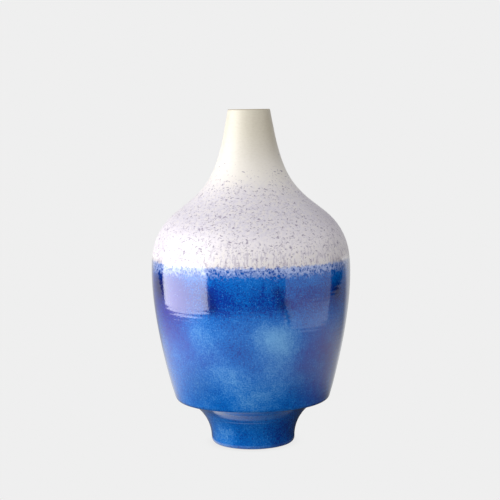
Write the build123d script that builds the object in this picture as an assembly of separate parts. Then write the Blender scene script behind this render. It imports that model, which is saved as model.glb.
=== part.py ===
"""Stoneware bottle vase, thrown in sections and luted together, then glazed in three coats.

Every piece is a solid of revolution about the Z axis, so each one is drawn as a flat section in the
XZ plane (X is the radius, Z the height above the table) and spun through a full turn.
The pot stands on the XY plane with its axis on Z. All sizes are in millimetres.

The clay comes in four sections, from the table up: foot, lower_body, shoulder and neck. They meet at
three bevelled joints, each filled by a ring of luting slip. Three coats of glaze cover the clay:
cobalt_glaze outside below the glaze line, cream_glaze outside above it and over the lip, and
liner_glaze inside. The underside of the foot is bare clay.
"""

import os
from math import atan2, cos, degrees, pi, sin, sqrt, tan

from build123d import *

# ---- the glazed outside ------------------------------------------------------------------------
HEIGHT = 330.0
FOOT_RADIUS = 41.3  # at the upright part of the foot, just above the table
FOOT_ROUND = 5.0  # rounding between the foot's side and its standing face
COVE_RADIUS = 42.0  # the foot's side is one hollow arc that flares up to the ledge
LEDGE_HEIGHT = 44.0  # flat underside of the body, outside the foot
LEDGE_FILLET = 6.0  # softens the corner between the cove and the ledge
CORNER_RADIUS = 71.6  # centre of the rounded turn from ledge to wall
CORNER_ROUND = 5.5
CORNER_LEAN = 17.5  # degrees that the wall leans out from upright, where the turn ends
LIP_RADIUS = 20.8
LIP_LEAN = 10.5  # degrees that the neck leans in, at the lip
LIP_ROUND = 1.3
# The wall's own curve from the turn to the lip passes these (radius, height) stations.
LOW_WALL = (86.5, 85.0)
HIGH_WALL = (95.4, 135.0)
BELLY = (97.8, 172.0)  # the widest point
SHOULDER_TURN = (94.2, 200.0)
SHOULDER = (81.5, 222.0)
SHOULDER_FOOT = (57.9, 242.0)  # steepest slope, where dome turns into sweep
NECK_ROOT = (40.1, 262.0)
NECK = (28.8, 290.0)

# ---- thicknesses -------------------------------------------------------------------------------
GLAZE = 0.8  # both outside coats
LINER = 0.5
LIP_GLAZE = 0.6  # depth of glaze on top of the lip
WALL_LOW = 6.0  # clay, at the turn above the foot
WALL_LIP = 3.4  # clay, at the lip

# ---- the inside --------------------------------------------------------------------------------
FLOOR_HEIGHT = 49.5  # glazed floor of the pot
FLOOR_RADIUS = 48.0  # flat part of the floor, before it curves up into the wall
BOWL_START = 0.11  # share of the wall's curve below which the inside is a bowl
BOWL_PULL = 1.2  # how far the bowl follows the floor and the wall before it turns
RECESS_HEIGHT = 39.5  # ceiling of the hollow foot
RECESS_RADIUS = 40.0  # of the hollow at its ceiling
RECESS_FILLET = 5.0
FOOT_BORE = 32.4  # radius of the hollow at the standing face
FOOT_BEVEL = 0.8

# ---- where the coats and sections meet -----------------------------------------------------------
GLAZE_LINE = 182.0
GLAZE_FOOT_EDGE = 0.9  # the cobalt coat stops this far above the table
LIP_OVERLAP = 14.0  # the cream coat runs this far down inside the mouth
# Each joint's (radius, height, slope): the middle of the clay wall, and the slope in degrees of the
# two bevelled faces, which run down towards the inside where it is positive.
FOOT_JOINT = (44.0, 31.0, -20.0)
BELLY_JOINT = (94.3, 168.0, 30.0)
NECK_JOINT = (39.3, 258.0, 35.0)
JOINT_REACH = 9.0  # a bevel's run to each side of its middle, wider than any wall
SLIP = 0.8  # thickness of luting slip between two bevelled faces

STATIONS_READ = 13  # samples that carry a parallel copy of the wall's curve
BEYOND = 400.0  # larger than the pot in every direction


def point(radius, height):
    """A point of the flat section."""
    return Vector(radius, 0, height)


def spin(section):
    """The solid that a flat section sweeps in one full turn."""
    return revolve(section, Axis.Z, 360)


def band(low, high):
    """A flat strip of the section plane between two heights, from the axis outwards."""
    corners = [point(0, low), point(BEYOND, low), point(BEYOND, high), point(0, high)]
    return make_face(Polyline(*corners, close=True))


def heading(degrees_from_upright):
    """Upward direction that leans away from the axis by the given angle, or in if it is negative."""
    lean = degrees_from_upright * pi / 180
    return Vector(sin(lean), 0, cos(lean))


def on_circle(centre, radius, angle):
    """The point of a circle at an angle in degrees, counted from straight outwards."""
    turn = angle * pi / 180
    return centre + Vector(cos(turn), 0, sin(turn)) * radius


def bearing(centre, target):
    """The angle in degrees at which a target lies from a centre, counted from straight outwards."""
    return degrees(atan2((target - centre).Z, (target - centre).X))


def wall_curve():
    """The glazed wall's own curve, from the turn above the ledge up to the lip's rounding."""
    lean = CORNER_LEAN * pi / 180
    start = point(
        CORNER_RADIUS + CORNER_ROUND * cos(lean),
        LEDGE_HEIGHT + CORNER_ROUND * (1 - sin(lean)),
    )
    lip_start = HEIGHT - LIP_ROUND * (1 - sin(LIP_LEAN * pi / 180))
    stations = [
        LOW_WALL,
        HIGH_WALL,
        BELLY,
        SHOULDER_TURN,
        SHOULDER,
        SHOULDER_FOOT,
        NECK_ROOT,
        NECK,
    ]
    return Spline(
        start,
        *[point(*station) for station in stations],
        point(LIP_RADIUS, lip_start),
        tangents=[heading(CORNER_LEAN), heading(-LIP_LEAN)],
    )


def parallel(curve, low_gap, high_gap, first=0.0):
    """A copy of the wall's curve moved in by a gap that changes evenly from low_gap to high_gap."""
    stations = []
    for step in range(STATIONS_READ):
        share = first + (1 - first) * step / (STATIONS_READ - 1)
        along = curve % share
        inward = Vector(-along.Z, 0, along.X)
        stations.append(curve @ share + inward * (low_gap + share * (high_gap - low_gap)))
    return stations


def lip_arc(edge, top, turn_in):
    """Rounds the end of an upward edge over to level at the height top, inwards or outwards."""
    end, along = edge @ 1, edge % 1
    lean_in = atan2(-along.X, along.Z)
    rise = top - end.Z
    if turn_in:
        radius = rise / (1 - sin(lean_in))
        centre = end + Vector(-cos(lean_in), 0, -sin(lean_in)) * radius
    else:
        radius = rise / (1 + sin(lean_in))
        centre = end + Vector(cos(lean_in), 0, sin(lean_in)) * radius
    level = Vector(centre.X, 0, top)
    middle = ((end - centre).normalized() + (level - centre).normalized()).normalized()
    return ThreePointArc(end, centre + middle * radius, level)


def outside(inset, top):
    """Everything inside the pot's outer skin, which is moved in by inset, up to the height top.

    The standing face stays on the table at any inset, because the foot's rounding keeps its radius.
    """
    foot_centre = point(FOOT_RADIUS - FOOT_ROUND - inset, FOOT_ROUND)
    cove_centre = point(FOOT_RADIUS + COVE_RADIUS, FOOT_ROUND)
    cove = COVE_RADIUS + inset
    ledge = LEDGE_HEIGHT + inset
    fillet = LEDGE_FILLET + inset
    fillet_rise = ledge - fillet - FOOT_ROUND
    fillet_reach = sqrt((cove - fillet) ** 2 - fillet_rise**2)
    fillet_centre = point(cove_centre.X - fillet_reach, ledge - fillet)
    cove_end = cove_centre + (fillet_centre - cove_centre) * (cove / (cove - fillet))
    corner_centre = point(CORNER_RADIUS, LEDGE_HEIGHT + CORNER_ROUND)
    corner = CORNER_ROUND - inset
    corner_turn = 90 - CORNER_LEAN
    wall = wall_curve()
    if inset:
        wall = Spline(*parallel(wall, inset, inset), tangents=[wall % 0, wall % 1])

    standing = point(foot_centre.X, 0)
    side = point(foot_centre.X + FOOT_ROUND, FOOT_ROUND)
    cove_middle = (180 + bearing(cove_centre, cove_end)) / 2
    fillet_start = bearing(fillet_centre, cove_end)
    edges = [
        Line(point(0, 0), standing),
        ThreePointArc(standing, on_circle(foot_centre, FOOT_ROUND, -45), side),
        ThreePointArc(side, on_circle(cove_centre, cove, cove_middle), cove_end),
        ThreePointArc(
            cove_end,
            on_circle(fillet_centre, fillet, (fillet_start + 90) / 2),
            point(fillet_centre.X, ledge),
        ),
        Line(point(fillet_centre.X, ledge), point(CORNER_RADIUS, ledge)),
        ThreePointArc(
            point(CORNER_RADIUS, ledge),
            on_circle(corner_centre, corner, -90 + corner_turn / 2),
            wall @ 0,
        ),
        wall,
    ]
    lip = lip_arc(wall, top, turn_in=True)
    edges += [lip, Line(lip @ 1, point(0, top)), Line(point(0, top), point(0, 0))]
    return make_face(edges)


def hollow(extra, floor, top):
    """The pot's inside, from a floor up to a top. extra is added to the clay wall's thickness."""
    low, high = GLAZE + WALL_LOW + extra, GLAZE + WALL_LIP + extra
    outer = wall_curve()
    stations = parallel(outer, low, high, first=BOWL_START)
    upward = outer % BOWL_START
    bowl = Spline(
        point(FLOOR_RADIUS, floor),
        stations[0],
        tangents=[Vector(1, 0, 0), upward],
        tangent_scalars=[BOWL_PULL, BOWL_PULL],
    )
    wall = Spline(*stations, tangents=[upward, outer % 1])
    lip = lip_arc(wall, top, turn_in=False)
    edges = [
        Line(point(0, floor), point(FLOOR_RADIUS, floor)),
        bowl,
        wall,
        lip,
        Line(lip @ 1, point(0, top)),
        Line(point(0, top), point(0, floor)),
    ]
    return make_face(edges)


def foot_hollow():
    """The space under the pot, inside its foot, with a small bevel at the standing face."""
    corners = [
        point(0, 0),
        point(FOOT_BORE + FOOT_BEVEL, 0),
        point(FOOT_BORE, FOOT_BEVEL),
        point(RECESS_RADIUS, RECESS_HEIGHT - RECESS_FILLET),
    ]
    ceiling = point(RECESS_RADIUS - RECESS_FILLET, RECESS_HEIGHT)
    side = (corners[3] - corners[2]).normalized()
    turn = Spline(corners[3], ceiling, tangents=[side, Vector(-1, 0, 0)])
    edges = [
        Polyline(*corners),
        turn,
        Line(ceiling, point(0, RECESS_HEIGHT)),
        Line(point(0, RECESS_HEIGHT), point(0, 0)),
    ]
    return make_face(edges)


def below(joint, lift):
    """The flat region under a joint's bevelled face, which is lifted by the given thickness."""
    radius, height, slope = joint
    rise = JOINT_REACH * tan(slope * pi / 180)
    level = height + lift / cos(slope * pi / 180)
    corners = [
        point(0, -BEYOND),
        point(BEYOND, -BEYOND),
        point(BEYOND, level + rise),
        point(radius + JOINT_REACH, level + rise),
        point(radius - JOINT_REACH, level - rise),
        point(0, level - rise),
    ]
    return make_face(Polyline(*corners, close=True))


def clay_sections(body):
    """The four clay sections and the three rings of slip between them, as flat sections."""
    sections = {}
    rest = body
    joined = [
        ("foot", "foot_slip_ring", FOOT_JOINT),
        ("lower_body", "belly_slip_ring", BELLY_JOINT),
        ("shoulder", "neck_slip_ring", NECK_JOINT),
    ]
    for name, ring, joint in joined:
        under = below(joint, -SLIP / 2)
        under_and_slip = below(joint, SLIP / 2)
        sections[name] = rest & under
        sections[ring] = (rest & under_and_slip) - under
        rest = rest - under_and_slip
    sections["neck"] = rest
    return sections


def glaze_coats(coats, lining):
    """The three coats of glaze as flat sections. The cream one is outside and inside the mouth."""
    over_line = band(GLAZE_LINE, BEYOND)
    in_mouth = band(HEIGHT - LIP_OVERLAP, BEYOND)
    return {
        "cobalt_glaze": coats - over_line,
        "cream_glaze": (coats & over_line) + (lining & in_mouth),
        "liner_glaze": lining - in_mouth,
    }


def build():
    """Returns every piece by its node name."""
    glazed = outside(0, HEIGHT)
    clay = outside(GLAZE, HEIGHT - LIP_GLAZE)
    free_space = hollow(LINER, FLOOR_HEIGHT, HEIGHT)
    clay_space = hollow(0, FLOOR_HEIGHT - LINER, HEIGHT - LIP_GLAZE)

    body = clay - clay_space - foot_hollow()
    coats = glazed - free_space - clay - band(-BEYOND, GLAZE_FOOT_EDGE)
    lining = (clay & clay_space) - free_space
    sections = {**clay_sections(body), **glaze_coats(coats, lining)}
    return {name: spin(section) for name, section in sections.items()}


if __name__ == "__main__":
    os.makedirs("parts", exist_ok=True)
    for name, piece in build().items():
        export_step(piece, f"parts/{name}.step")
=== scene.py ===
"""A thrown stoneware bottle vase: its coats of glaze, its bare turned foot and its clay, in a plain studio.

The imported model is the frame. The glaze coats, the foot and the lower body are fresh lathes of that
model's own sections, with the marks of hands and tools in them. The rest of the clay keeps its CAD
meshes. All sizes are in metres.
"""

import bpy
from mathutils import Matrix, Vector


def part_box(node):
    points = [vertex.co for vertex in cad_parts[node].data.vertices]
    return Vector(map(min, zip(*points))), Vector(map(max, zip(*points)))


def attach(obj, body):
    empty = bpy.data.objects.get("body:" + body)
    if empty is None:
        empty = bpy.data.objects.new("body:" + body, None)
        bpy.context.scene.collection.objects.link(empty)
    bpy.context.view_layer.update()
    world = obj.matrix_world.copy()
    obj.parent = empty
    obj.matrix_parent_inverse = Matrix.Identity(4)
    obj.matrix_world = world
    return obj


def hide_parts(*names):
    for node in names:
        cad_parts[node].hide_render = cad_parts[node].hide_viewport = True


bl_info = {
    "name": "Stoneware bottle vase",
    "version": (1, 0, 0),
    "blender": (4, 5, 0),
    "location": "3D View > Sidebar > Vase",
    "description": "Glazes and lights a thrown stoneware bottle vase",
    "category": "Object",
}

from math import atan2, ceil, cos, exp, hypot, pi, radians, sin, tau

import bmesh
import bpy
from bpy.props import FloatProperty, FloatVectorProperty, IntProperty, PointerProperty
from mathutils import Euler, Matrix, Vector, noise

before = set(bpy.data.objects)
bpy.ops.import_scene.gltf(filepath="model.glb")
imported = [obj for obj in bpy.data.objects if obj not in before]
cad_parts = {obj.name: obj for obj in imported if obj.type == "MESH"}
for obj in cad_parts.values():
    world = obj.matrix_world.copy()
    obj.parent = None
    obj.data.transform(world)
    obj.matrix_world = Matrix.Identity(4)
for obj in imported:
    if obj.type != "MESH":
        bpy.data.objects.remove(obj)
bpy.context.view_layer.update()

MM = 0.001
WELD = 1e-6  # points closer than this are one point
SHARP = radians(35)  # a bend of the section sharper than this is a real corner
FINE_BEND = radians(5)  # the most that one step of a turned curve bends
STRAIGHT = 3  # a chord this many times as long as its neighbour is a straight stretch
WALL_LENGTH = 0.1  # a run of a section longer than this is a wall, not an edge
HIDDEN_GAP = 4  # how many times as far apart rows are where a piece touches its neighbours
LINING_GAP = 1.6  # the same for the lining, which is seen only through the mouth
GLAZE_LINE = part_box("cobalt_glaze")[1].z
LAP = GLAZE_LINE + 2.6 * MM  # the blue creeps a little way up under the cream
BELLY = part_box("cobalt_glaze")[1].x
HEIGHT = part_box("cream_glaze")[1].z
LEDGE = 0.044  # height of the turn between foot and body
LEDGE_SLACK = 4 * MM  # a run under the pot may rise this far above its stated top
FOOT_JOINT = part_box("foot_slip_ring")[0].z  # height of the joint's lower edge


def srgb(red, green, blue):
    """A colour given in 0 to 255 screen values, as the linear values that shaders want."""

    def linear(value):
        share = value / 255
        return share / 12.92 if share <= 0.04045 else ((share + 0.055) / 1.055) ** 2.4

    return (linear(red), linear(green), linear(blue))


def colour(name, description, *screen):
    return FloatVectorProperty(
        name=name,
        description=description,
        default=srgb(*screen),
        subtype="COLOR",
        min=0,
        max=1,
    )


def length(name, description, millimetres):
    return FloatProperty(
        name=name,
        description=description,
        default=millimetres * MM,
        subtype="DISTANCE",
        unit="LENGTH",
        min=0,
    )


# ---- settings ----------------------------------------------------------------------------------


class ThrownShape(bpy.types.PropertyGroup):
    """How finely the coats are turned, and what the thrower's hands left in them."""

    segments: IntProperty(name="Segments", description="Steps in a full turn", default=256, min=32)
    row_gap: length("Row gap", "Distance between rows up the wall", 1.0)
    ripple_pitch: length("Ripple pitch", "Climb of the finger ripples in one turn", 4.6)
    ripple_depth: length("Ripple depth", "Half the depth of the finger ripples", 0.03)
    swell_depth: length("Swell depth", "Half the depth of the broad uneven swells", 0.07)
    ring_pitch: length("Ring pitch", "Climb of the finger rings inside in one turn", 9.0)
    ring_depth: length("Ring depth", "Half the depth of the finger rings inside", 0.1)
    joint_ridge: length("Joint ridge", "How far the foot's joint stands proud under the glaze", 0.16)
    groove_depth: length("Groove depth", "Depth of the turning marks under the foot", 0.2)
    groove_pitch: length("Groove pitch", "Distance between turning marks", 2.4)


class CobaltFinish(bpy.types.PropertyGroup):
    """Colours of the glossy blue glaze."""

    deep: colour("Deep", "Blue of the dark clouds", 3, 44, 150)
    middle: colour("Middle", "The blue of most of the body", 0, 112, 208)
    pale: colour("Pale", "Blue of the light clouds", 114, 182, 243)
    violet: colour("Violet", "Purple cast of the dark clouds", 62, 50, 158)
    # Besides thick glaze, this blue paints dark reflections and shade in the dark clouds beside the panel
    # reflections.
    thick_glaze_and_dark_reflection: colour("Night", "Blackish blue where the glaze lies thickest", 12, 14, 72)
    net: colour("Net", "Pale net between the dots under the glaze line", 174, 192, 240)
    dot: colour("Dot", "Dots just under the glaze line", 12, 66, 158)


class CreamFinish(bpy.types.PropertyGroup):
    """Colours of the satin glaze above the line."""

    neck: colour("Neck", "Cream of the neck", 233, 228, 213)
    shoulder: colour("Shoulder", "Lavender of the shoulder", 211, 206, 216)
    warm: colour("Warm", "Cream dapples on the shoulder", 227, 221, 218)
    low: colour("Low shoulder", "Paler glaze just above the line", 237, 231, 236)
    streak: colour("Streak", "Cream streaks above the glaze line", 238, 232, 228)
    speck: colour("Speck", "Small purple specks", 124, 108, 138)
    # Besides the lip's thin glaze and the neck's runs, this tan paints shade on the right side of the neck.
    thin_glaze_and_shade: colour("Lip edge", "Clay showing through the thin glaze of the lip", 138, 118, 78)


class ClayFinish(bpy.types.PropertyGroup):
    """Colours of the bare stoneware and of the lining."""

    bare: colour("Bare clay", "Fired clay under the foot", 176, 148, 118)
    slip: colour("Slip", "Fired luting slip in the joints", 190, 164, 134)
    toasted: colour("Toasted clay", "Warmer patches of the fired clay", 142, 104, 74)
    iron: colour("Iron specks", "Dark specks in the clay", 66, 48, 38)
    lining: colour("Lining", "Glaze inside the pot", 222, 216, 204)


class Studio(bpy.types.PropertyGroup):
    """The camera, the lights and the floor."""

    lens: FloatProperty(name="Lens", description="Focal length in millimetres", default=99.05)
    distance: length("Distance", "From the camera to the pot's axis", 1350)
    pitch: FloatProperty(
        name="Pitch", description="How far the camera looks down", default=radians(5.85), subtype="ANGLE"
    )
    roll: FloatProperty(
        name="Roll", description="How far the camera is turned", default=radians(0.77), subtype="ANGLE"
    )
    pale: FloatProperty(name="Pale", description="Brightness of floor and backdrop", default=0.863)
    key: FloatProperty(name="Key", description="Brightness of the left panel's lower half", default=2.45)
    key_top: FloatProperty(
        name="Key top", description="Brightness of the left panel's upper half", default=1.75
    )
    fill: FloatProperty(name="Fill", description="Brightness of the right panel", default=0.38)
    sky: FloatProperty(name="Sky", description="Strength of the light from above", default=0.9)
    bounce: FloatProperty(name="Bounce", description="Strength of the light from the floor", default=0.72)


# ---- the section and the lathe -----------------------------------------------------------------


def section(node):
    """A CAD piece's half section at y = 0, as runs of (radius, height) between real corners.

    The points are in order round the section. Those on a turned surface lie exactly on it.
    """
    cut = bmesh.new()
    cut.from_mesh(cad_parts[node].data)
    bmesh.ops.remove_doubles(cut, verts=cut.verts, dist=WELD)
    bmesh.ops.bisect_plane(
        cut,
        geom=cut.verts[:] + cut.edges[:] + cut.faces[:],
        dist=WELD,
        plane_co=(0, 0, 0),
        plane_no=(0, 1, 0),
        clear_inner=True,
        clear_outer=True,
    )
    bmesh.ops.bisect_plane(
        cut,
        geom=cut.verts[:] + cut.edges[:],
        dist=WELD,
        plane_co=(0, 0, 0),
        plane_no=(1, 0, 0),
        clear_inner=True,
    )
    bmesh.ops.remove_doubles(cut, verts=cut.verts, dist=WELD)
    ends = [vert for vert in cut.verts if len(vert.link_edges) == 1]
    vert = ends[0] if ends else min(cut.verts, key=lambda v: (v.co.z, v.co.x))
    ring, edge = [vert], None
    while True:
        onward = [e for e in vert.link_edges if e is not edge]
        if not onward:
            break
        edge = onward[0]
        vert = edge.other_vert(vert)
        if vert is ring[0]:
            break
        ring.append(vert)
    points = [Vector((v.co.x, v.co.z)) for v in ring]
    cut.free()
    return split_at_corners(points, closed=not ends)


def split_at_corners(points, closed):
    """Cuts a ring or a chain of points into the smooth runs between its corners."""
    count = len(points)

    def turn(index):
        before, here, after = points[index - 1], points[index], points[(index + 1) % count]
        return abs((here - before).angle_signed(after - here, 0))

    corners = [i for i in range(count) if turn(i) > SHARP]
    if closed:
        first = corners[0]
        points = points[first:] + points[: first + 1]
        corners = [i - first for i in corners] + [count]
    else:
        corners = [0] + [i for i in corners if 0 < i < count - 1] + [count - 1]
    return [points[a : b + 1] for a, b in zip(corners, corners[1:])]


def run_length(run):
    return sum((b - a).length for a, b in zip(run, run[1:]))


def walls(runs):
    """The numbers of the runs that are long enough to be a wall."""
    return [number for number, run in enumerate(runs) if run_length(run) > WALL_LENGTH]


def outermost(runs):
    """The number of the wall on the outside of a coat."""
    widest = max(point.x for run in runs for point in run)
    return min(walls(runs), key=lambda number: min(abs(point.x - widest) for point in runs[number]))


def innermost(runs):
    """The number of the lining's wall that faces the axis, which is its shorter one."""
    return min(walls(runs), key=lambda number: run_length(runs[number]))


def hollow_side(runs, top):
    """The number of the run that faces the hollow under the pot, at or below about the given top."""

    def top_of(run):
        return max(point.y for point in run)

    def reach(number):
        return min(point.x for point in runs[number]) - run_length(runs[number])

    low = [number for number, run in enumerate(runs) if top_of(run) < top + LEDGE_SLACK]
    return min(low, key=reach)


def fair_run(run, gap):
    """Closely spaced points on a smooth curve through a run's points.

    A long chord beside much shorter ones is a straight stretch, so the curve leaves along it.
    """
    if len(run) < 3:
        return straight_run(run, gap)
    chords = [b - a for a, b in zip(run, run[1:])]
    slopes = [chord.normalized() for chord in chords]
    tangents = []
    for (before, after), (slope_in, slope_out) in zip(zip(chords, chords[1:]), zip(slopes, slopes[1:])):
        if before.length > STRAIGHT * after.length:
            tangents.append(slope_in)
        elif after.length > STRAIGHT * before.length:
            tangents.append(slope_out)
        else:
            tangents.append((slope_in * after.length + slope_out * before.length).normalized())
    first = (2 * slopes[0] - tangents[0]).normalized()
    last = (2 * slopes[-1] - tangents[-1]).normalized()
    tangents = [first] + tangents + [last]
    fair = []
    for index, (start, chord) in enumerate(zip(run, chords)):
        bend = tangents[index].angle(tangents[index + 1], 0)
        steps = max(ceil(chord.length / gap), ceil(bend / FINE_BEND))
        for step in range(steps):
            fair.append(hermite(start, run[index + 1], tangents[index], tangents[index + 1], step / steps))
    return fair + [run[-1]]


def straight_run(run, gap):
    """Evenly spaced points along the straight line between a run's two ends."""
    start, end = run[0], run[-1]
    steps = max(1, ceil((end - start).length / gap))
    return [start.lerp(end, step / steps) for step in range(steps + 1)]


def hermite(start, end, leaving, arriving, share):
    """The point at a share of the way along a cubic with the given end directions."""
    reach = (end - start).length
    square, cube = share**2, share**3
    return (
        start * (2 * cube - 3 * square + 1)
        + leaving * reach * (cube - 2 * square + share)
        + end * (3 * square - 2 * cube)
        + arriving * reach * (cube - square)
    )


def lathe(name, runs, shown, shape, carve, row_gap):
    """Spins runs of a section into one closed piece and carves the shown run's surface.

    carve(position, outward) gives how far a point of the shown run moves, as a vector. outward points
    straight away from the axis.
    """
    work = bmesh.new()
    on_show = work.verts.layers.float.new("shown")
    chain = []
    for index, run in enumerate(runs):
        gap = row_gap if index == shown else shape.row_gap * HIDDEN_GAP
        for place in fair_run(run, gap):
            if chain and (Vector((chain[-1].co.x, chain[-1].co.z)) - place).length < WELD:
                vert = chain[-1]
            else:
                vert = work.verts.new((place.x, 0, place.y))
                chain.append(vert)
            if index == shown:
                vert[on_show] = 1
    if (chain[0].co - chain[-1].co).length < WELD:
        chain[0][on_show] = max(chain[0][on_show], chain[-1][on_show])
        work.verts.remove(chain.pop())
        pairs = zip(chain, chain[1:] + chain[:1])
    else:
        pairs = zip(chain, chain[1:])
    edges = [work.edges.new(pair) for pair in pairs]
    steps = shape.segments // 4
    turned_round(work, chain + edges, steps)
    for vert in work.verts:
        outward = Vector((vert.co.x, vert.co.y, 0))
        if vert[on_show] > 0 and outward.length > WELD:
            vert.co += carve(vert.co.copy(), outward.normalized())
    bmesh.ops.recalc_face_normals(work, faces=work.faces)
    for face in work.faces:
        face.smooth = True
    for edge in work.edges:
        edge.smooth = edge.calc_face_angle(0) < SHARP
    return finished(name, work)


def turned_round(work, outline, steps):
    """Spins an outline through a quarter turn, repeats the quarter round the axis and joins all four."""
    bmesh.ops.spin(work, geom=outline, cent=(0, 0, 0), axis=(0, 0, 1), angle=tau / 4, steps=steps)
    quarter = work.verts[:] + work.edges[:] + work.faces[:]
    for number in (1, 2, 3):
        copy = bmesh.ops.duplicate(work, geom=quarter)["geom"]
        verts = [item for item in copy if isinstance(item, bmesh.types.BMVert)]
        turn = Matrix.Rotation(number * tau / 4, 3, "Z")
        bmesh.ops.rotate(work, verts=verts, cent=(0, 0, 0), matrix=turn)
    bmesh.ops.remove_doubles(work, verts=work.verts, dist=WELD)


def finished(name, work):
    """Turns a bmesh into a linked object at the origin."""
    mesh = bpy.data.meshes.new(name)
    work.to_mesh(mesh)
    work.free()
    piece = bpy.data.objects.new(name, mesh)
    bpy.context.scene.collection.objects.link(piece)
    return piece


# ---- marks of hands and tools ------------------------------------------------------------------


def spiral(position, travel, pitch):
    """The angle, in radians, of a spiral mark that moves on by its pitch in each turn round the pot."""
    turn = atan2(position.y, position.x) / tau
    return tau * (travel + turn * pitch) / pitch


def thrown_wall(shape):
    """The carving of the outside wall: fine finger ripples that climb, over broad uneven swells."""
    patch_size = 19 * MM  # height over which the ripples grow stronger and weaker
    swell_size = 34 * MM
    ridge_width = 0.55 * MM
    settled = 8 * MM  # below this height the wall comes down true to the standing face

    def carve(position, outward):
        strength = 0.6 + 0.7 * noise.noise(Vector((0, 0, position.z / patch_size)))
        ripple = sin(spiral(position, position.z, shape.ripple_pitch)) * shape.ripple_depth * strength
        swell = noise.noise(position / swell_size) * shape.swell_depth
        ridge = shape.joint_ridge * exp(-(((position.z - FOOT_JOINT) / ridge_width) ** 2))
        settle = min(1, position.z / settled)
        return outward * ((ripple + swell) * settle + ridge)

    return carve


def finger_rings(shape):
    """The carving of the inside wall: the wide rings that fingers leave where no tool smooths them."""
    patch_size = 30 * MM

    def carve(position, outward):
        strength = 0.7 + 0.6 * noise.noise(position / patch_size)
        return outward * sin(spiral(position, position.z, shape.ring_pitch)) * shape.ring_depth * strength

    return carve


def turning_marks(shape, direction):
    """The carving under the foot: the close spiral that a turning tool cuts into leather-hard clay.

    direction is "OUT" for grooves cut away from the axis, or "UP" for grooves cut into a ceiling.
    """
    chatter_size = 5 * MM

    def carve(position, outward):
        travel = hypot(position.x, position.y) + position.z
        cut = (0.5 - 0.5 * cos(spiral(position, travel, shape.groove_pitch))) ** 2
        chatter = 0.75 + 0.5 * noise.noise(position / chatter_size)
        way = outward if direction == "OUT" else Vector((0, 0, 1))
        return way * cut * chatter * shape.groove_depth

    return carve


# ---- shader helpers ----------------------------------------------------------------------------


def feed(tree, socket, value):
    """Joins a node's output to an input socket, or sets a plain value on it."""
    if isinstance(value, bpy.types.NodeSocket):
        tree.links.new(value, socket)
    else:
        socket.default_value = value


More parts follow.
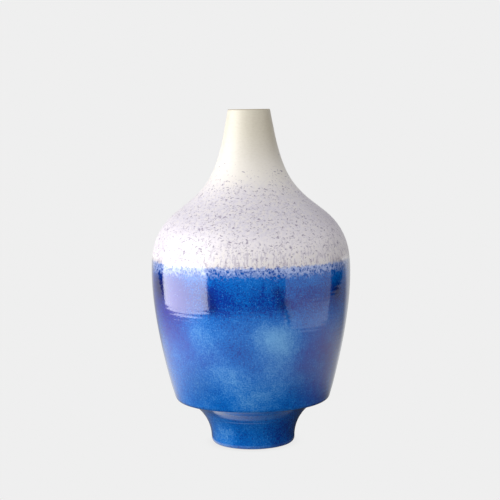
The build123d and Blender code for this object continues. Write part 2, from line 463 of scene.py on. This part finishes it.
class Finish:
    """One material and short ways to add and join its nodes."""

    def __init__(self, name):
        self.material = bpy.data.materials.new(name)
        self.material.use_nodes = True
        self.tree = self.material.node_tree
        self.tree.nodes.clear()
        self.place = self.add("ShaderNodeTexCoord").outputs["Object"]
        self.height = self.add("ShaderNodeSeparateXYZ", {"Vector": self.place}).outputs["Z"]

    def add(self, kind, inputs=None, **settings):
        """Adds a node. An input is given by name or number, as a socket to join or a plain value."""
        node = self.tree.nodes.new(kind)
        for key, value in settings.items():
            setattr(node, key, value)
        for key, value in (inputs or {}).items():
            feed(self.tree, node.inputs[key], value)
        return node

    def math(self, operation, first, second):
        return self.add("ShaderNodeMath", {0: first, 1: second}, operation=operation).outputs[0]

    def times(self, *values):
        """The product of several values or sockets."""
        product = values[0]
        for value in values[1:]:
            product = self.math("MULTIPLY", product, value)
        return product

    def fade(self, value, start, end, low=0.0, high=1.0):
        """Goes smoothly from low to high as the value goes from start to end."""
        inputs = {"Value": value, "From Min": start, "From Max": end, "To Min": low, "To Max": high}
        return self.add("ShaderNodeMapRange", inputs, interpolation_type="SMOOTHSTEP").outputs["Result"]

    def blend(self, share, under, over):
        """Mixes two colours: under where the share is 0, over where it is 1."""
        under = under if isinstance(under, bpy.types.NodeSocket) else (*under, 1)
        over = over if isinstance(over, bpy.types.NodeSocket) else (*over, 1)
        node = self.add("ShaderNodeMix", data_type="RGBA")
        for socket, value in ((0, share), (6, under), (7, over)):
            feed(self.tree, node.inputs[socket], value)
        return node.outputs[2]

    def stretch(self, x, y, z, place=None):
        """The place on the pot, scaled along each axis."""
        inputs = {0: place or self.place, 1: (x, y, z)}
        return self.add("ShaderNodeVectorMath", inputs, operation="MULTIPLY").outputs[0]

    def cloud(self, size, detail=3.0, roughness=0.5, place=None, distortion=0.0):
        """Noise between 0 and 1 whose patches are about as large as the given size."""
        inputs = {
            "Vector": place or self.place,
            "Scale": 1 / size,
            "Detail": detail,
            "Roughness": roughness,
            "Distortion": distortion,
        }
        return self.add("ShaderNodeTexNoise", inputs).outputs["Fac"]

    def swing(self, size, detail=3.0, roughness=0.5, distortion=0.0):
        """Noise like cloud, but between -0.5 and 0.5."""
        noise_value = self.cloud(size, detail, roughness, distortion=distortion)
        return self.math("SUBTRACT", noise_value, 0.5)

    def shaken(self, size, reach):
        """The place on the pot, pushed about so that patterns on it lose their regular outline."""
        inputs = {"Vector": self.place, "Scale": 1 / size, "Detail": 2.0}
        colour_out = self.add("ShaderNodeTexNoise", inputs).outputs["Color"]
        centred = self.add("ShaderNodeVectorMath", {0: colour_out, 1: (0.5, 0.5, 0.5)}, operation="SUBTRACT")
        inputs = {0: centred.outputs[0], "Scale": reach}
        pushed = self.add("ShaderNodeVectorMath", inputs, operation="SCALE")
        inputs = {0: self.place, 1: pushed.outputs[0]}
        return self.add("ShaderNodeVectorMath", inputs, operation="ADD").outputs[0]

    def cells(self, size, place=None):
        """Distance from the nearest cell centre, in cells, and a random value for each cell."""
        inputs = {"Vector": place or self.place, "Scale": 1 / size}
        node = self.add("ShaderNodeTexVoronoi", inputs)
        red = self.add("ShaderNodeSeparateColor", {0: node.outputs["Color"]}).outputs[0]
        return node.outputs["Distance"], red

    def specks(self, size, share, place=None, softness=0.5):
        """Round specks in some of the cells: share is a value or socket, the share that has one."""
        radius = 0.34
        distance, chance = self.cells(size, place)
        spot = self.fade(distance, radius, radius * softness)
        present = self.math("LESS_THAN", chance, share)
        return self.times(spot, present)

    def patch(self, centre, radius):
        """1 at a place on the pot, fading to 0 at the radius round it."""
        gap = self.add("ShaderNodeVectorMath", {0: self.place, 1: centre}, operation="DISTANCE")
        return self.fade(gap.outputs["Value"], radius, 0.0)

    def surface(self, base, roughness, bump, bump_depth, coat_weight=0.0, **constants):
        """Ends the material in a Principled shader. Constants are set on its own sockets."""
        relief = self.add("ShaderNodeBump", {"Height": bump, "Distance": bump_depth}).outputs[0]
        inputs = {
            "Base Color": base,
            "Roughness": roughness,
            "Normal": relief,
            "Coat Weight": coat_weight,
        }
        shader = self.add("ShaderNodeBsdfPrincipled", inputs)
        for key, value in constants.items():
            shader.inputs[key.replace("_", " ")].default_value = value
        self.add("ShaderNodeOutputMaterial", {"Surface": shader.outputs[0]})
        return self.material

    def glow(self, strength):
        """Ends the material in an even white light."""
        light = self.add("ShaderNodeEmission", {"Color": (1, 1, 1, 1), "Strength": strength})
        self.add("ShaderNodeOutputMaterial", {"Surface": light.outputs[0]})
        return self.material


def on_wall(turn, height, radius):
    """A place on the pot: turn in degrees from the front, positive to the right."""
    return (radius * sin(radians(turn)), -radius * cos(radians(turn)), height)


def glaze_spot(outline, turn, height):
    """A place on a coat whose outline is given."""
    for here, onward in zip(outline, outline[1:]):
        low, high = sorted((here, onward), key=lambda point: point.y)
        if low.y < height <= high.y:
            share = (height - low.y) / (high.y - low.y)
            return on_wall(turn, height, low.lerp(high, share).x)
    raise ValueError("the coat doesn't reach that height")


def spots(finish, outline, clouds):
    """Each of the listed clouds as a patch on a coat, with its strength."""
    for turn, height, radius, strength in clouds:
        yield finish.patch(glaze_spot(outline, turn, height * MM), radius * MM), strength


# ---- finishes ----------------------------------------------------------------------------------


# The fringe is made of pale nets. Each has the size of its cells, how far below the line it ends and
# where it is full, in millimetres; the size of the blue dots in it at the line and at its end, as a
# share of a cell; and its strength.
FRINGE = [(2.0, 14, 4, 0.38, 0.58, 0.55), (3.0, 12, 2, 0.46, 0.64, 0.9)]

# Each cloud has its turn from the front, the height of its middle and its radius in millimetres, and
# its strength. A pale cloud of negative strength darkens the blue.
PALE_CLOUDS_AND_SHADE = [
    (16, 115, 38, 0.42),
    (13, 116, 20, 0.12),
    (-26, 118, 32, 0.2),
    (-15, 84, 26, 0.3),
    (-4, 52, 26, 0.14),
    (-54, 14, 30, 0.22),
    (-24, 74, 34, 0.1),
    (2, 70, 34, 0.12),
    (22, 76, 30, 0.16),
    (32, 106, 26, -0.08),
    (-8, 104, 20, -0.1),
    # The next three darken the blue at about 150 mm left of the front: painted shade.
    (-22, 152, 30, -0.2),
    (-54, 150, 46, -0.45),
    (-84, 150, 40, -0.4),
    (44, 18, 40, -0.3),
]
VIOLET_CLOUDS = [
    (52, 104, 48, 1.0),
    (58, 62, 46, 0.95),
    (-68, 112, 44, 0.9),
    (-50, 150, 38, 0.75),
    (-42, 106, 36, 0.6),
    (-26, 100, 24, 0.5),
    (34, 92, 32, 0.4),
]
# Dark clouds: those at 140 to 162 mm, beside the two bright panel reflections, are painted dark reflections
# and shade; the rest darken the blue.
DARK_CLOUDS_AND_REFLECTIONS = [
    (-64, 162, 24, 0.9),
    (-24, 157, 11, 0.45),
    (-22.5, 147, 11, 0.5),
    (-38, 68, 40, 0.25),
    (62, 96, 46, 0.15),
    (33, 74, 26, 0.12),
    (57, 157, 26, 0.25),
    (57, 157, 12, 0.7),
    (15, 161, 10, 0.4),
    (17.5, 150, 11, 0.55),
    (21, 140, 9, 0.25),
    (66, 14, 44, 0.35),
]

# Each size of dash on the shoulder has the size of its cells in millimetres, and its strength.
DASHES = [(6.0, 0.85), (4.2, 0.78), (2.8, 0.6)]

# Each purple patch of the shoulder has its turn from the front, height, distance from the axis and radius in
# millimetres, and its strength. The one at the right edge is painted shade; the other darkens the lower
# left.
TINTS_AND_SHADE = [(78, 232, 84, 54, 0.36), (-58, 200, 93, 70, 0.2)]


def blue_colour(finish, tones):
    """The blue glaze: a fine grain of light and dark over broad clouds, and purple in the darkest. A darker
    band at about 152 to 158 mm and some of the dark clouds are painted dark reflections and shade.
    """
    runs = section("cobalt_glaze")
    outline = runs[outermost(runs)]
    broad = finish.swing(40 * MM, 2.0, distortion=0.3)
    mottle = finish.swing(7 * MM, 2.0)
    grain = finish.swing(1.3 * MM, 2.0, 0.6)
    calm = finish.math("ADD", finish.times(broad, 0.5), finish.times(mottle, 0.32))
    # Painted reflection: the blue is darkest in a band at about 152 to 158 mm, where the dark cloth in front
    # is mirrored, and paler above 176 mm and below 130 mm.
    calm = finish.math("ADD", calm, finish.fade(finish.height, 176 * MM, 158 * MM, 0.38, 0.2))
    calm = finish.math("ADD", calm, finish.fade(finish.height, 152 * MM, 130 * MM, 0.0, 0.26))
    # The clouds of negative strength at about 150 mm on the left paint shade.
    for spot, strength in spots(finish, outline, PALE_CLOUDS_AND_SHADE):
        calm = finish.math("ADD", calm, finish.times(spot, strength))
    level = finish.math("ADD", calm, finish.times(grain, 1.3))
    blue = finish.blend(finish.fade(level, 0.0, 0.55), tones.deep, tones.middle)
    level = finish.math("ADD", calm, finish.times(grain, 0.9))
    blue = finish.blend(finish.fade(level, 0.45, 1.15), blue, tones.pale)
    for spot, strength in spots(finish, outline, VIOLET_CLOUDS):
        spot = finish.times(spot, finish.fade(calm, 0.85, 0.2), strength)
        blue = finish.blend(spot, blue, tones.violet)
    # Painted dark reflections and shade, and some darker glaze, from the dark clouds' list.
    for spot, strength in spots(finish, outline, DARK_CLOUDS_AND_REFLECTIONS):
        blue = finish.blend(finish.times(spot, strength), blue, tones.thick_glaze_and_dark_reflection)
    flecks = finish.specks(1.7 * MM, 0.25, softness=0.2)
    return finish.blend(finish.times(flecks, 0.4), blue, tones.pale)


def cream_colour(finish, tones):
    """The pale glaze: cream at the neck, then lavender, and paler and streaked towards the glaze line.
    Painted shade darkens the neck's right side and the shoulder's right edge.
    """
    drift = finish.times(finish.swing(30 * MM), 26 * MM)
    uneven = finish.math("ADD", finish.height, drift)
    dapple = finish.cloud(3.4 * MM, 3.0, 0.65, finish.stretch(1, 1, 1.6, finish.shaken(9 * MM, 6 * MM)))
    warm = finish.fade(dapple, 0.44, 0.6)
    lavender = finish.blend(finish.times(warm, 0.6), tones.shoulder, tones.warm)
    low = finish.fade(uneven, 226 * MM, 200 * MM)
    lavender = finish.blend(finish.times(low, 0.9), lavender, tones.low)
    neck = finish.blend(finish.fade(uneven, 318 * MM, 266 * MM, 0.0, 0.6), tones.neck, tones.warm)
    # Painted shade: a patch on the right of the neck, away from the key light, goes part way to the lip's
    # tan. The fine runs added to it are thin glaze.
    thin = finish.patch(on_wall(80, 318 * MM, 26 * MM), 72 * MM)
    runs = finish.fade(finish.cloud(3 * MM, 3.0, 0.6, finish.stretch(1, 1, 2)), 0.4, 0.7, 0.0, 0.06)
    thin = finish.math("ADD", finish.times(thin, 0.45), runs)
    neck = finish.blend(finish.times(thin, finish.fade(uneven, 250 * MM, 290 * MM)), neck, tones.thin_glaze_and_shade)
    pale = finish.blend(finish.fade(uneven, 274 * MM, 238 * MM), neck, lavender)
    shadow = finish.times(finish.fade(dapple, 0.45, 0.3), finish.fade(uneven, 284 * MM, 246 * MM), 0.12)
    pale = finish.blend(shadow, pale, tones.speck)
    near_line = finish.fade(finish.height, 220 * MM, LAP)
    streaks = finish.cloud(2.2 * MM, 2.0, 0.6, finish.stretch(1, 1, 0.3))
    pale = finish.blend(finish.times(finish.fade(streaks, 0.46, 0.62), near_line, 0.8), pale, tones.streak)
    gaps = finish.times(finish.fade(streaks, 0.49, 0.38), near_line, 0.4)
    pale = finish.blend(gaps, pale, tones.speck)
    share = finish.fade(uneven, 286 * MM, 236 * MM, 0.0, 0.9)
    share = finish.times(share, finish.fade(finish.height, LAP, 205 * MM, 0.5, 1.0))
    share = finish.times(share, finish.fade(finish.cloud(16 * MM), 0.35, 0.65, 0.5, 1.2))
    place = finish.stretch(1, 1, 2.2, finish.shaken(6 * MM, 9 * MM))
    for size, strength in DASHES:
        dashes = finish.specks(size * MM, share, place, 0.25)
        pale = finish.blend(finish.times(dashes, strength), pale, tones.speck)
    # Painted shade at the shoulder's right edge, and a darker lower left.
    for turn, height, distance, radius, strength in TINTS_AND_SHADE:
        tint = finish.patch(on_wall(turn, height * MM, distance * MM), radius * MM)
        pale = finish.blend(finish.times(tint, strength), pale, tones.speck)
    return pale


def outside_finish(name):
    """Both outside glazes and the fringe where they run into each other, for either coat."""
    tones = bpy.context.scene.cobalt_finish
    cream_tones = bpy.context.scene.cream_finish
    finish = Finish(name)
    blue = blue_colour(finish, tones)
    cream = cream_colour(finish, cream_tones)
    place = finish.stretch(1, 1, 0.85, finish.shaken(4 * MM, 2.2 * MM))
    uneven = finish.times(finish.swing(8 * MM), 6 * MM)
    depth = finish.math("ADD", finish.height, uneven)
    dark = finish.fade(finish.height, LAP - 10 * MM, LAP - 3 * MM, 0.0, 0.6)
    blue = finish.blend(dark, blue, tones.dot)
    dense = finish.patch(on_wall(32, GLAZE_LINE, BELLY), 75 * MM)
    dense = finish.math("ADD", finish.times(dense, 0.5), 1.0)
    patchy = finish.fade(finish.cloud(1.6 * MM, 2.0, 0.6), 0.3, 0.62, 0.45, 1.1)
    for size, bottom, top, narrow, wide, strength in FRINGE:
        distance, _ = finish.cells(size * MM, place)
        blob = finish.fade(depth, LAP, LAP - bottom * MM, narrow, wide)
        gap = finish.fade(finish.math("SUBTRACT", distance, blob), -0.06, 0.2)
        reach = finish.fade(depth, LAP - bottom * MM, LAP - top * MM)
        share = finish.times(gap, reach, dense, patchy, strength)
        blue = finish.blend(finish.math("MINIMUM", share, 1.0), blue, tones.net)
    ragged = finish.math("ADD", finish.height, finish.times(finish.swing(2.6 * MM), 8 * MM))
    above = finish.fade(ragged, LAP - 1.5 * MM, LAP + 1.5 * MM)
    base = finish.blend(above, blue, cream)
    rim = finish.fade(finish.height, HEIGHT - 1.4 * MM, HEIGHT - 0.2 * MM)
    base = finish.blend(finish.times(rim, 0.6), base, cream_tones.thin_glaze_and_shade)
    roughness = finish.fade(finish.height, LAP - 2 * MM, LAP + 8 * MM, 0.08, 0.42)
    gloss = finish.fade(finish.height, LAP + 6 * MM, LAP - 1 * MM)
    peel = finish.cloud(2.2 * MM, 2.0, 0.5)
    return finish.surface(base, roughness, peel, 0.09 * MM, gloss, IOR=1.75, Coat_Roughness=0.04)


def clay_finish(name, bare, colours):
    """Bare fired stoneware: toasted patches, iron specks and a sandy grain."""
    finish = Finish(name)
    patches = finish.fade(finish.cloud(18 * MM, 4.0, 0.6), 0.35, 0.7)
    base = finish.blend(patches, bare, colours.toasted)
    grain = finish.cloud(0.7 * MM, 3.0, 0.7)
    base = finish.blend(finish.times(finish.fade(grain, 0.55, 0.75), 0.4), base, colours.toasted)
    iron = finish.specks(2.2 * MM, 0.2, softness=0.6)
    base = finish.blend(finish.times(iron, 0.8), base, colours.iron)
    roughness = finish.fade(grain, 0.3, 0.7, 0.75, 0.95)
    return finish.surface(base, roughness, grain, 0.12 * MM)


def lining_finish(name, colours):
    """The liner glaze: off-white and glossy, with faint specks and thin rings."""
    finish = Finish(name)
    rings = finish.cloud(9 * MM, 2.0, 0.5, finish.stretch(0.1, 0.1, 1))
    base = finish.blend(finish.times(finish.fade(rings, 0.4, 0.7), 0.3), colours.lining, colours.bare)
    base = finish.blend(finish.times(finish.specks(3 * MM, 0.3), 0.4), base, colours.toasted)
    peel = finish.cloud(2 * MM, 2.0, 0.5)
    return finish.surface(base, 0.16, peel, 0.05 * MM, 0.4, IOR=1.5, Coat_Roughness=0.06)


def coat(piece, material, slot, *nodes):
    """Gives a new piece its finish and its place in the frame."""
    piece.data.materials.append(material)
    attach(piece, "root")
    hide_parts(*nodes)


def outside_coat(name, node, shape):
    """Turns one of the two outside coats in place of its CAD node, and glazes it."""
    runs = section(node)
    piece = lathe(name, runs, outermost(runs), shape, thrown_wall(shape), shape.row_gap)
    coat(piece, outside_finish(node), node, node)


def set_finish(node, material):
    """Gives a CAD node a better material."""
    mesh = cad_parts[node].data
    mesh.materials.clear()
    mesh.materials.append(material)


# ---- operators ---------------------------------------------------------------------------------


class VASE_OT_cobalt_coat(bpy.types.Operator):
    """Turn the glossy blue coat, from just above the table to the glaze line"""

    bl_idname = "vase.cobalt_coat"
    bl_label = "Cobalt coat"

    def execute(self, context):
        outside_coat("cobalt_coat", "cobalt_glaze", context.scene.thrown_shape)
        return {"FINISHED"}


class VASE_OT_cream_coat(bpy.types.Operator):
    """Turn the satin cream coat, from the glaze line over the lip and into the mouth"""

    bl_idname = "vase.cream_coat"
    bl_label = "Cream coat"

    def execute(self, context):
        outside_coat("cream_coat", "cream_glaze", context.scene.thrown_shape)
        return {"FINISHED"}


class VASE_OT_lining(bpy.types.Operator):
    """Turn the lining of the pot, with the thrower's rings left strong in it"""

    bl_idname = "vase.lining"
    bl_label = "Lining"

    def execute(self, context):
        shape = context.scene.thrown_shape
        runs = section("liner_glaze")
        shown = innermost(runs)
        piece = lathe("lining", runs, shown, shape, finger_rings(shape), shape.row_gap * LINING_GAP)
        coat(piece, lining_finish("lining", context.scene.clay_finish), "liner_glaze", "liner_glaze")
        return {"FINISHED"}


class VASE_OT_clay(bpy.types.Operator):
    """Give the clay sections and the slip between them their fired colour and grain"""

    bl_idname = "vase.clay"
    bl_label = "Clay and slip"

    def execute(self, context):
        colours = context.scene.clay_finish
        clay = clay_finish("stoneware", colours.bare, colours)
        for name in ("shoulder", "neck"):
            set_finish(name, clay)
        slip = clay_finish("slip", colours.slip, colours)
        for name in ("foot_slip_ring", "belly_slip_ring", "neck_slip_ring"):
            set_finish(name, slip)
        return {"FINISHED"}


class VASE_OT_turned_foot(bpy.types.Operator):
    """Turn the foot ring and the body's underside, with tool marks left in the bare clay"""

    bl_idname = "vase.turned_foot"
    bl_label = "Turned foot"

    def execute(self, context):
        shape = context.scene.thrown_shape
        colours = context.scene.clay_finish
        clay = clay_finish("turned_stoneware", colours.bare, colours)
        fine = shape.groove_pitch / 5
        runs = section("foot")
        shown = hollow_side(runs, FOOT_JOINT)
        foot = lathe("turned_foot", runs, shown, shape, turning_marks(shape, "OUT"), fine)
        coat(foot, clay, "foot_clay", "foot")
        runs = section("lower_body")
        shown = hollow_side(runs, LEDGE)
        body = lathe("turned_body", runs, shown, shape, turning_marks(shape, "UP"), fine)
        coat(body, clay, "body_clay", "lower_body")
        return {"FINISHED"}


class VASE_OT_studio(bpy.types.Operator):
    """Set the camera, the floor and the lights"""

    bl_idname = "vase.studio"
    bl_label = "Studio"

    def execute(self, context):
        studio = context.scene.studio
        place_camera(studio)
        lay_floor(studio)
        light_sky(studio)
        hang_lights(studio)
        return {"FINISHED"}


# ---- studio ------------------------------------------------------------------------------------


def place_camera(studio):
    """The camera stands in front, at the height of the lip, and looks down a little."""
    data = bpy.data.cameras.new("camera")
    data.lens = studio.lens
    data.sensor_width = 36
    aside = -0.0007
    camera = bpy.data.objects.new("camera", data)
    bpy.context.scene.collection.objects.link(camera)
    tilt = Euler((pi / 2 - studio.pitch, 0, 0)).to_matrix().to_4x4()
    turned = tilt @ Matrix.Rotation(-studio.roll, 4, "Z")
    camera.matrix_world = Matrix.Translation((aside, -studio.distance, HEIGHT)) @ turned
    bpy.context.scene.camera = camera
    bpy.context.scene.view_settings.view_transform = "Standard"


def brightness(tree, seen, mirrored, cast):
    """How brightly part of the set glows: to the camera, in a mirror of glaze, and as light on things.

    Each is a plain value or a socket.
    """

    def mix(share, rest, chosen):
        node = tree.nodes.new("ShaderNodeMix")
        for socket, value in ((0, share), (2, rest), (3, chosen)):
            feed(tree, node.inputs[socket], value)
        return node.outputs[0]

    path = tree.nodes.new("ShaderNodeLightPath")
    unseen = mix(path.outputs["Is Glossy Ray"], cast, mirrored)
    return mix(path.outputs["Is Camera Ray"], unseen, seen)


def towards(finish, bearing):
    """How far a place lies from the axis towards a bearing, given in degrees from the front."""
    inputs = {0: finish.place, 1: on_wall(bearing, 0, 1)}
    return finish.add("ShaderNodeVectorMath", inputs, operation="DOT_PRODUCT").outputs["Value"]


def lay_floor(studio):
    """A wide pale floor, with a painted soft contact shadow where the pot stands.

    Mirrored in the glaze it is dark, with a glow at each side, a paler pool round the pot and a
    bright crescent close to the foot. As a light it is stronger on the left.
    """
    work = bmesh.new()
    bmesh.ops.create_circle(work, cap_ends=True, segments=96, radius=4.0)
    floor = finished("floor", work)
    finish = Finish("floor")
    contact = {"Distance": 0.012}
    # Painted shadow: occlusion darkens the floor's glow within about 12 mm of the pot.
    near = finish.add("ShaderNodeAmbientOcclusion", contact, samples=8).outputs["AO"]
    seen = finish.fade(near, 0.2, 1.0, studio.pale * 0.93, studio.pale)
    left = finish.fade(towards(finish, -136), -0.02, 0.2, 0.02, 0.36)
    right = finish.fade(towards(finish, 126), 0.04, 0.36, 0.0, 0.16)
    radius = finish.add("ShaderNodeVectorMath", {0: finish.place}, operation="LENGTH").outputs["Value"]
    pool = finish.times(finish.fade(radius, 0.13, 0.23), finish.fade(radius, 0.6, 0.3), 0.27)
    mirrored = finish.math("ADD", finish.math("ADD", left, right), pool)
    lit_side = finish.fade(towards(finish, 90), 0.03, -0.04, 0.05, 0.55)
    crescent = finish.times(finish.fade(radius, 0.053, 0.048), lit_side)
    mirrored = finish.math("ADD", mirrored, crescent)
    bounce = finish.fade(towards(finish, 90), 0.24, -0.3, studio.bounce * 0.15, studio.bounce)
    strength = brightness(finish.tree, seen, mirrored, bounce)
    floor.data.materials.append(finish.glow(strength))


def light_sky(studio):
    """A surround that looks even and pale, but lights the pot more from the left and the front."""
    world = bpy.data.worlds.new("sky")
    bpy.context.scene.world = world
    world.use_nodes = True
    tree = world.node_tree
    tree.nodes.clear()
    background = tree.nodes.new("ShaderNodeBackground")
    background.inputs["Color"].default_value = (1, 1, 1, 1)
    output = tree.nodes.new("ShaderNodeOutputWorld")
    direction = tree.nodes.new("ShaderNodeTexCoord").outputs["Generated"]
    brightest = (-0.6, -0.8, 0)
    facing = tree.nodes.new("ShaderNodeVectorMath")
    facing.operation = "DOT_PRODUCT"
    feed(tree, facing.inputs[0], direction)
    feed(tree, facing.inputs[1], brightest)
    cast = tree.nodes.new("ShaderNodeMapRange")
    feed(tree, cast.inputs["Value"], facing.outputs["Value"])
    feed(tree, cast.inputs["From Min"], -0.9)
    feed(tree, cast.inputs["From Max"], 0.9)
    feed(tree, cast.inputs["To Min"], studio.sky * 0.1)
    feed(tree, cast.inputs["To Max"], studio.sky * 1.3)
    strength = brightness(tree, studio.pale, studio.pale, cast.outputs["Result"])
    feed(tree, background.inputs["Strength"], strength)
    feed(tree, output.inputs["Surface"], background.outputs[0])


def panel(name, near, far, low, high, radiance):
    """A flat upright light whose ends stand over two places on the floor, seen in the glaze."""
    left, right = Vector((*near, 0)), Vector((*far, 0))
    data = bpy.data.lights.new(name, "AREA")
    data.shape = "RECTANGLE"
    data.size = (right - left).length
    data.size_y = high - low
    data.energy = radiance * pi * data.size * data.size_y
    light = bpy.data.objects.new(name, data)
    middle = (left + right) / 2
    middle.z = (low + high) / 2
    across = (right - left).normalized()
    facing = across.cross(Vector((0, 0, 1)))
    if facing.dot(middle) > 0:
        facing.negate()
    turn = facing.to_track_quat("-Z", "Y").to_matrix().to_4x4()
    light.matrix_world = Matrix.Translation(middle) @ turn
    light.visible_camera = False
    bpy.context.scene.collection.objects.link(light)


def screen(name, top, bottom, high, low, distance, mirrored=0.0, cast=0.0):
    """A cloth that hangs round part of the set: dark in the glaze, but it may cast a soft light.

    top and bottom are the bearings, in degrees from the front, that its two edges run between. high
    and low are the heights of those edges.
    """
    work = bmesh.new()
    steps = 24
    rows = []
    for (start, end), height in ((top, high), (bottom, low)):
        bearings = [start + (end - start) * step / steps for step in range(steps + 1)]
        rows.append([work.verts.new(on_wall(bearing, height, distance)) for bearing in bearings])
    edges = [[work.edges.new(pair) for pair in zip(row, row[1:])] for row in rows]
    bmesh.ops.bridge_loops(work, edges=edges[0] + edges[1])
    cloth = finished(name, work)
    finish = Finish(name)
    strength = brightness(finish.tree, 0.0, mirrored, cast)
    cloth.data.materials.append(finish.glow(strength))
    cloth.visible_camera = False


def hang_lights(studio):
    """A key panel on the left in two halves, a fill panel on the right, and cloths between them."""
    key_near, key_far, key_split = (-0.323, -0.312), (-0.532, 0.226), 0.23
    panel("key_panel", key_near, key_far, 0.024, key_split, studio.key)
    panel("key_panel_top", key_near, key_far, key_split, 0.50, studio.key_top)
    panel("fill_panel", (0.21, -0.312), (0.443, 0.031), 0.008, 0.46, studio.fill)
    round_set = 0.62
    front, left, right = (-50, 36), (-134, -110), (36, 122)
    screen("front_cloth", front, front, 0.70, 0.013, round_set, mirrored=0.03, cast=1.18)
    screen("left_cloth", left, left, 0.45, 0.17, round_set)
    screen("left_cloth_point", left, (-114, -110), 0.17, 0.02, round_set)
    screen("right_cloth", right, right, 0.45, 0.09, round_set)
    screen("right_cloth_point", right, (36, 88), 0.09, 0.013, round_set)
    screen("stand_leg", (28, 31), (38.5, 42.5), 0.09, 0.013, 0.36)


# ---- add-on ------------------------------------------------------------------------------------


class VASE_PT_build(bpy.types.Panel):
    """Lists what builds the vase, in order"""

    bl_idname = "VASE_PT_build"
    bl_label = "Stoneware bottle vase"
    bl_space_type = "VIEW_3D"
    bl_region_type = "UI"
    bl_category = "Vase"

    def draw(self, context):
        for operator in OPERATORS:
            self.layout.operator(operator.bl_idname)
        for name in SETTINGS:
            box = self.layout.box()
            settings = getattr(context.scene, name)
            for key in settings.__annotations__:
                box.prop(settings, key)


SETTINGS = {
    "thrown_shape": ThrownShape,
    "cobalt_finish": CobaltFinish,
    "cream_finish": CreamFinish,
    "clay_finish": ClayFinish,
    "studio": Studio,
}
OPERATORS = [
    VASE_OT_clay,
    VASE_OT_turned_foot,
    VASE_OT_cobalt_coat,
    VASE_OT_cream_coat,
    VASE_OT_lining,
    VASE_OT_studio,
]


def register():
    for kind in [*SETTINGS.values(), *OPERATORS, VASE_PT_build]:
        bpy.utils.register_class(kind)
    for name, kind in SETTINGS.items():
        setattr(bpy.types.Scene, name, PointerProperty(type=kind))


def unregister():
    for name in SETTINGS:
        delattr(bpy.types.Scene, name)
    for kind in [VASE_PT_build, *OPERATORS, *SETTINGS.values()]:
        bpy.utils.unregister_class(kind)


def main():
    register()
    bpy.ops.vase.clay()
    bpy.ops.vase.turned_foot()
    bpy.ops.vase.cobalt_coat()
    bpy.ops.vase.cream_coat()
    bpy.ops.vase.lining()
    bpy.ops.vase.studio()


if __name__ == "__main__":
    main()
